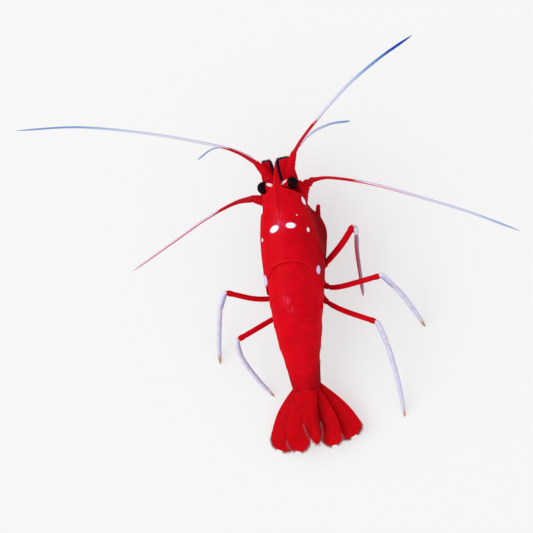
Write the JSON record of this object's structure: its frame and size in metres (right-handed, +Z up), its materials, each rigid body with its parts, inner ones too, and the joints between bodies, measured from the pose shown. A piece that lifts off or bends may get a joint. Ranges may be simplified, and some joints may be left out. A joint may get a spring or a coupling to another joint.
{
  "type": "cleaner shrimp",
  "caption": "Life-size still model of a blood-red cleaner shrimp that stands on its walking legs, with white spots, spread pale feelers, a plated abdomen and an open tail fan.",
  "frame": {"origin": "centre of the footprint box, on the floor the feet stand on", "axes": "+Y from the tail towards the head, +X to the animal's right, +Z up"},
  "size_m": [0.0838, 0.0678, 0.0197],
  "materials": {
    "body_shell": "glossy blood-red shell with small white spots on the carapace",
    "tail_fan": "deep red, satin, with a pale hair fringe",
    "underside": "deep red, satin",
    "red_limb": "glossy red",
    "pale_limb": "milky white with a violet cast, tan claws",
    "pale_feeler": "ringed, pale lilac shading to blue at the ends",
    "eye": "near-black, glossy, finely faceted"
  },
  "bodies": {
    "root": {"abdomen_1": "body_shell", "abdomen_2": "body_shell", "abdomen_3": "body_shell", "abdomen_4": "body_shell", "abdomen_5": "body_shell", "abdomen_6": "body_shell", "antenna_base_left": "red_limb", "antenna_base_right": "red_limb", "antenna_left_base": "red_limb", "antenna_left_tip": "pale_feeler", "antenna_right_base": "red_limb", "antenna_right_tip": "pale_feeler", "antennal_scale_left": "red_limb", "antennal_scale_right": "red_limb", "antennule_base_left": "red_limb", "antennule_base_right": "red_limb", "antennule_long_left_base": "red_limb", "antennule_long_left_tip": "pale_feeler", "antennule_long_right_base": "red_limb", "antennule_long_right_tip": "pale_feeler", "antennule_short_left": "pale_feeler", "antennule_short_right": "pale_feeler", "carapace": "body_shell", "eye_left": "eye", "eye_right": "eye", "eyestalks": "red_limb", "leg_1_left": "red_limb", "leg_1_right": "red_limb", "leg_2_left": "pale_limb", "leg_2_right": "pale_limb", "leg_3_left_lower": "pale_limb", "leg_3_left_upper": "red_limb", "leg_3_right_lower": "pale_limb", "leg_3_right_upper": "red_limb", "leg_4_left_lower": "pale_limb", "leg_4_left_upper": "red_limb", "leg_4_right_lower": "pale_limb", "leg_4_right_upper": "red_limb", "leg_5_left_lower": "pale_limb", "leg_5_left_upper": "red_limb", "leg_5_right_lower": "pale_limb", "leg_5_right_upper": "red_limb", "maxilliped_left": "red_limb", "maxilliped_right": "red_limb", "pleopod_1_left": "underside", "pleopod_1_right": "underside", "pleopod_2_left": "underside", "pleopod_2_right": "underside", "pleopod_3_left": "underside", "pleopod_3_right": "underside", "pleopod_4_left": "underside", "pleopod_4_right": "underside", "pleopod_5_left": "underside", "pleopod_5_right": "underside", "telson": "tail_fan", "thorax_underside": "underside", "uropod_endopod_left": "tail_fan", "uropod_endopod_right": "tail_fan", "uropod_exopod_left": "tail_fan", "uropod_exopod_right": "tail_fan"}
  },
  "joints": []
}
